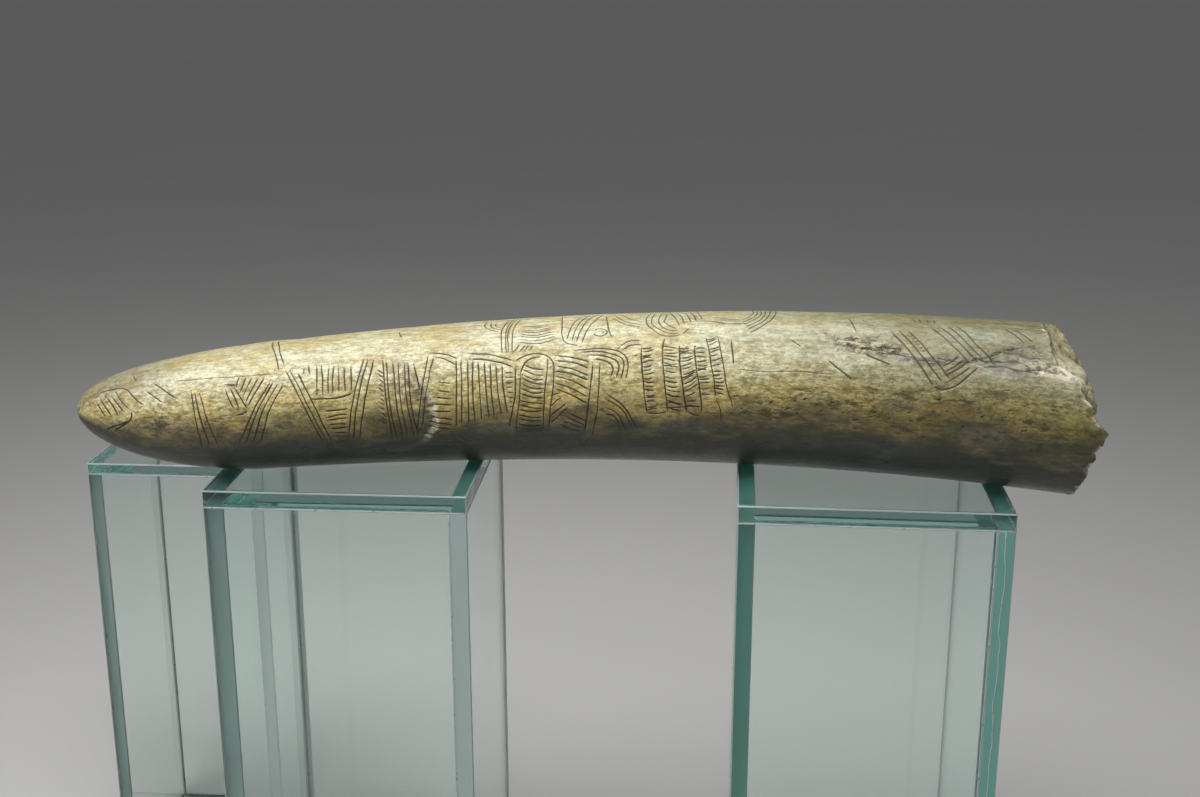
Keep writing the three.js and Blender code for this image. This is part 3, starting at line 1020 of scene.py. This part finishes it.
def glue_object(riser, own, material):
    """Glue in the small grooves where the walls meet the top and each other."""
    low, high = plate_box(f"{riser}_top", own)
    thick = high.z - low.z
    inset = 0.5 * ARRIS * MM
    top = low.z - 0.5 * GLUE_GAP * MM
    across = high.x - low.x
    half = across / 2
    shape = bmesh.new()
    for k in range(4):
        quarter = Matrix.Rotation(k * math.pi / 2, 4, "Z")
        front = -half + inset
        joint = half - thick - 0.5 * GLUE_GAP * MM
        drift = quarter @ Vector((BEAD_WANDER * MM, 0, 0))
        corner_left = quarter @ Vector((-half + 2 * inset, front, top))
        corner_right = quarter @ Vector((half - 2 * inset, front, top))
        bead(shape, corner_left, corner_right, BEAD_RADIUS, Vector((0, 0, BEAD_WANDER * MM)))
        foot = quarter @ Vector((joint, front, 2 * inset))
        head = quarter @ Vector((joint, front, top - 2 * inset))
        bead(shape, foot, head, BEAD_RADIUS, drift)
    if riser not in GROUND_RISERS:
        middle = half - 0.5 * thick
        proud = -half + 0.2 * inset
        run = Vector((RUN_WANDER * MM, 0, 0))
        foot = Vector((middle, proud, 2 * inset))
        head = Vector((middle, proud, top - 2 * inset))
        bead(shape, foot, head, RUN_RADIUS, run)
    shape.transform(own)
    bmesh.ops.recalc_face_normals(shape, faces=shape.faces[:])
    mesh = bpy.data.meshes.new(f"{riser}_glue")
    shape.to_mesh(mesh)
    shape.free()
    mesh.polygons.foreach_set("use_smooth", [True] * len(mesh.polygons))
    mesh.materials.append(material)
    made = link(f"{riser}_glue", mesh)
    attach(made, "root")


# Materials

class Shader:
    """Short ways to add nodes to a material's tree."""

    def __init__(self, name):
        self.material = bpy.data.materials.new(name)
        self.material.use_nodes = True
        self.tree = self.material.node_tree
        self.surface = self.tree.nodes["Principled BSDF"]

    def add(self, kind, settings=None, inputs=None):
        made = self.tree.nodes.new(kind)
        for name, value in (settings or {}).items():
            setattr(made, name, value)
        for name, value in (inputs or {}).items():
            self.put(made.inputs[name], value)
        return made

    def put(self, socket, value):
        if isinstance(value, bpy.types.NodeSocket):
            self.tree.links.new(value, socket)
        else:
            socket.default_value = value

    def set(self, name, value):
        self.put(self.surface.inputs[name], value)

    def attribute(self, name, output):
        return self.add("ShaderNodeAttribute", {"attribute_name": name}).outputs[output]

    def math(self, operation, a, b=0.0):
        return self.add("ShaderNodeMath", {"operation": operation}, {0: a, 1: b}).outputs[0]

    def product(self, *factors):
        value = factors[0]
        for factor in factors[1:]:
            value = self.math("MULTIPLY", value, factor)
        return value

    def range(self, value, low, high, to_low=0.0, to_high=1.0):
        made = self.add("ShaderNodeMapRange", {"interpolation_type": "SMOOTHSTEP"}, {"Value": value})
        for name, limit in (("From Min", low), ("From Max", high), ("To Min", to_low), ("To Max", to_high)):
            made.inputs[name].default_value = limit
        return made.outputs["Result"]

    def ramp(self, value, stops):
        """Colours at given values from -1 to 1."""
        made = self.add("ShaderNodeValToRGB", {}, {"Fac": self.math("MULTIPLY_ADD", value, 0.5)})
        made.inputs["Fac"].links[0].from_node.inputs[2].default_value = 0.5
        elements = made.color_ramp.elements
        while len(elements) < len(stops):
            elements.new(0.5)
        for element, (at, color) in zip(elements, stops):
            element.position = 0.5 + 0.5 * at
            element.color = color
        return made.outputs["Color"]

    def blend(self, factor, a, b, how="MIX"):
        made = self.add("ShaderNodeMix", {"data_type": "RGBA", "blend_type": how}, {0: factor, 6: a, 7: b})
        return made.outputs[2]

    def noise(self, vector, scale, detail=4.0, roughness=0.55, stretch=(1, 1, 1)):
        """Noise whose vector is in millimetres and whose scale is in grains a millimetre."""
        at = self.add("ShaderNodeMapping", {"vector_type": "POINT"}, {"Vector": vector, "Scale": stretch})
        made = self.add("ShaderNodeTexNoise", {}, {
            "Vector": at.outputs["Vector"], "Scale": scale, "Detail": detail, "Roughness": roughness,
        })
        return made.outputs["Fac"]

    def spots(self, scale, detail):
        """Noise in the object's own place, with its scale in grains a metre."""
        place = self.add("ShaderNodeTexCoord").outputs["Object"]
        made = self.add("ShaderNodeTexNoise", {}, {"Vector": place, "Scale": scale, "Detail": detail})
        return made.outputs["Fac"]


def ivory_material():
    s = Shader("aged_ivory")
    straight = s.attribute("straight", "Vector")
    upness = s.attribute("upness", "Fac")
    broken = s.attribute("broken", "Fac")
    wear_and_shade = s.add("ShaderNodeSeparateXYZ", {}, {"Vector": s.attribute("wear_and_shade", "Vector")}).outputs
    along = s.add("ShaderNodeSeparateXYZ", {}, {"Vector": straight}).outputs["X"]
    decay = s.attribute("decay", "Fac")
    rust = s.attribute("rust", "Fac")
    patches = s.noise(straight, 0.09, detail=7, roughness=0.65, stretch=(0.45, 1, 1))
    mottle = s.noise(straight, 0.36, detail=8, roughness=0.8, stretch=(0.5, 1, 1))
    grain = s.noise(straight, 1.0, detail=5, roughness=0.75, stretch=(0.4, 1, 1))
    fibres = s.noise(straight, 0.8, detail=4, stretch=(0.04, 1, 1))
    streaks = s.noise(straight, 0.24, detail=7, roughness=0.7, stretch=(0.3, 1, 1))
    specks = s.noise(straight, 0.5, detail=6, roughness=0.72, stretch=(0.5, 1, 1))

    by_patch = s.product(s.math("SUBTRACT", patches, 0.5), PATCH_SHIFT)
    by_mottle = s.product(s.math("SUBTRACT", mottle, 0.5), MOTTLE_SHIFT)
    shift = s.math("ADD", by_patch, by_mottle)
    # The nose: painted light lifts its lower tones, and painted shade darkens its top
    nose = s.range(along, 62, 18)
    # Tones by the sine of the angle; the dark underside is partly staining and partly painted shade
    color = s.ramp(s.math("ADD", s.math("ADD", upness, shift), s.product(nose, NOSE_LIGHT_SHIFT)), IVORY_TONES_WITH_SHADE)
    lit = s.range(upness, -0.45, -0.05)
    front = s.product(s.range(upness, 0.62, 0.2), s.range(upness, -0.6, -0.2))
    butt = s.range(along, 250, 340)

    spread = s.product(s.range(upness, -0.5, 0.0, 0.4, 1.0), s.range(upness, 0.5, 0.9, 1.0, 0.6))
    for factor, cast in (
        (s.product(s.range(patches, 0.46, 0.58), lit, 0.65), OCHRE_CAST),
        # Darker towards the butt: staining, and painted shade for the light's falloff
        (s.product(s.range(along, 230, 430), lit), BUTT_STAIN_AND_SHADE),
        # painted shade on the top of the nose
        (s.product(nose, s.range(upness, 0.3, 0.95)), NOSE_TOP_SHADE),
        (s.product(s.range(mottle, 0.46, 0.57), spread), MOTTLE_CAST),
        (s.product(s.range(specks, 0.48, 0.4), spread), FLAKE_CAST),
        (s.product(s.range(grain, 0.45, 0.57), spread), GRAIN_CAST),
        (s.range(fibres, 0.45, 0.7, 0.0, 0.6), GRAIN_CAST),
    ):
        color = s.blend(factor, color, cast, "MULTIPLY")

    crumbs = s.blend(s.range(specks, 0.42, 0.56), CRUMB_PALE, CRUMB_DARK)
    for factor, stain in (
        (s.product(s.range(streaks, 0.53, 0.61), front, s.range(butt, 0, 1, 0.25, 0.85)), SPECK),
        (s.product(s.range(specks, 0.58, 0.66), s.range(front, 0, 1, 0.1, 0.7)), SPECK),
        (s.product(rust, s.range(mottle, 0.44, 0.56, 0.05, 0.75)), RUST),
        # The dark channel: smears and specks of dirt and crack stains, and painted shade in the scar's
        # hollow
        (s.product(wear_and_shade["Z"], s.range(mottle, 0.42, 0.56, 0.2, 0.8)), SMEAR_AND_SHADE),
        (s.product(wear_and_shade["Z"], s.range(specks, 0.49, 0.57), 0.75), SPECK),
        (s.product(decay, s.range(grain, 0.36, 0.6, 0.95, 0.5)), crumbs),
    ):
        color = s.blend(factor, color, stain)
    rings = s.add("ShaderNodeTexWave", {"wave_type": "RINGS", "rings_direction": "X"}, {
        "Vector": straight, "Scale": 0.045, "Distortion": 7.0, "Detail": 4.0, "Detail Scale": 1.0,
    }).outputs["Fac"]
    layered = s.math("ADD", s.product(rings, 0.3), s.product(s.range(mottle, 0.42, 0.58), 0.7))
    color = s.blend(broken, color, s.blend(layered, BREAK_PALE, BREAK_BROWN))
    color = s.blend(s.product(wear_and_shade["Y"], s.range(specks, 0.62, 0.48, 0.1, 0.9)), color, FRESH)
    inked = s.product(s.range(wear_and_shade["X"], 0.12, 0.55), s.range(upness, 0.95, 0.5, 0.88, 0.96))
    color = s.blend(inked, color, s.blend(s.range(upness, -0.5, -0.22), DUST, PIGMENT))
    s.set("Base Color", color)

    gloss = s.range(patches, 0.3, 0.7, 0.25, 0.43)
    worn = s.math("MAXIMUM", s.math("MAXIMUM", broken, decay), wear_and_shade["X"])
    rough = s.math("ADD", gloss, s.product(worn, 0.35))
    s.set("Roughness", rough)
    height = s.math("ADD", s.product(fibres, 0.7), s.product(mottle, 1.2))
    bumps = s.add("ShaderNodeBump", {}, {
        "Strength": BUMP_STRENGTH, "Distance": BUMP_DISTANCE, "Height": height,
    })
    s.set("Normal", bumps.outputs["Normal"])
    return s.material


def glass_material(name, color, clear, roughness, dust):
    """Tinted float glass; clear is its transmission, and dust is how much rougher it is in patches."""
    s = Shader(name)
    s.set("Base Color", color)
    s.set("Transmission Weight", clear)
    s.set("IOR", GLASS_IOR)
    s.set("Roughness", s.range(s.spots(60.0, 3.0), 0.45, 0.75, roughness, roughness + dust))
    tint = s.add("ShaderNodeVolumeAbsorption", {}, {"Color": GLASS_TINT, "Density": GLASS_DENSITY})
    s.tree.links.new(tint.outputs["Volume"], s.tree.nodes["Material Output"].inputs["Volume"])
    return s.material


def glue_material():
    s = Shader("clear_glue")
    s.set("Base Color", GLUE_WHITE)
    s.set("Roughness", s.range(s.spots(200.0, 3.0), 0.3, 0.7, 0.25, 0.5))
    s.set("Transmission Weight", 0.5)
    return s.material


def floor_material():
    s = Shader("pale_floor")
    s.set("Base Color", s.blend(s.spots(3.0, 2.0), *FLOOR_TONES))
    s.set("Roughness", FLOOR_ROUGHNESS)
    return s.material


# Stage, light and camera

def make_floor():
    mesh = bpy.data.meshes.new("floor")
    half = FLOOR_SIZE / 2
    corners = [(-half, -half, 0), (half, -half, 0), (half, half, 0), (-half, half, 0)]
    mesh.from_pydata(corners, [], [(0, 1, 2, 3)])
    mesh.materials.append(floor_material())
    link("floor", mesh)


def make_light(apex, name, from_apex, size, power):
    data = bpy.data.lights.new(name, "AREA")
    data.shape = "RECTANGLE"
    data.size, data.size_y = size
    data.energy = power
    made = bpy.data.objects.new(name, data)
    made.location = apex + Vector(from_apex)
    made.rotation_euler = (apex - made.location).to_track_quat("-Z", "Y").to_euler()
    bpy.context.scene.collection.objects.link(made)


def make_world():
    world = bpy.data.worlds.new("studio")
    world.use_nodes = True
    world.node_tree.nodes["Background"].inputs["Color"].default_value = WORLD_COLOR
    world.node_tree.nodes["Background"].inputs["Strength"].default_value = WORLD_STRENGTH
    bpy.context.scene.world = world
    bpy.context.scene.view_settings.view_transform = "Standard"


def make_camera(apex):
    data = bpy.data.cameras.new("camera")
    data.lens = CAMERA_LENS
    data.sensor_width = 36
    data.clip_start = 0.01
    data.clip_end = 1000
    made = bpy.data.objects.new("camera", data)
    made.location = apex + CAMERA_FROM_APEX
    made.rotation_euler = (math.radians(90 - CAMERA_PITCH), 0, 0)
    bpy.context.scene.collection.objects.link(made)
    bpy.context.scene.camera = made


riser_low, riser_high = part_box("left_riser_top")
riser_middle = (riser_low + riser_high) / 2
apex = Vector((riser_middle.x, riser_middle.y, riser_high.z)) - LEFT_RISER_FROM_APEX * MM

make_camera(apex)
make_world()
make_floor()
for light in LIGHTS:
    make_light(apex, *light)

tusk = tusk_object(apex)
tusk.data.materials.append(ivory_material())
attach(tusk, "root")
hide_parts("tusk")

polished = glass_material("float_glass", GLASS_CLEAR, 1.0, 0.0, POLISHED_DUST)
ground = glass_material("ground_glass_edge", GLASS_GROUND, GROUND_CLARITY, GROUND_ROUGHNESS, GROUND_DUST)
# Teal glued edges: painted glow of light carried along the glass
edge_glow = glass_material("glued_edge_glow", GLUED_EDGE_GLOW, GLUED_GLOW_CLARITY, GROUND_ROUGHNESS, GROUND_DUST)
glue = glue_material()
for riser in RISER_TURNS:
    own = riser_frame(riser)
    for side in ("top", *WALLS):
        plate_object(riser, side, own, (polished, ground, edge_glow))
    glue_object(riser, own, glue)
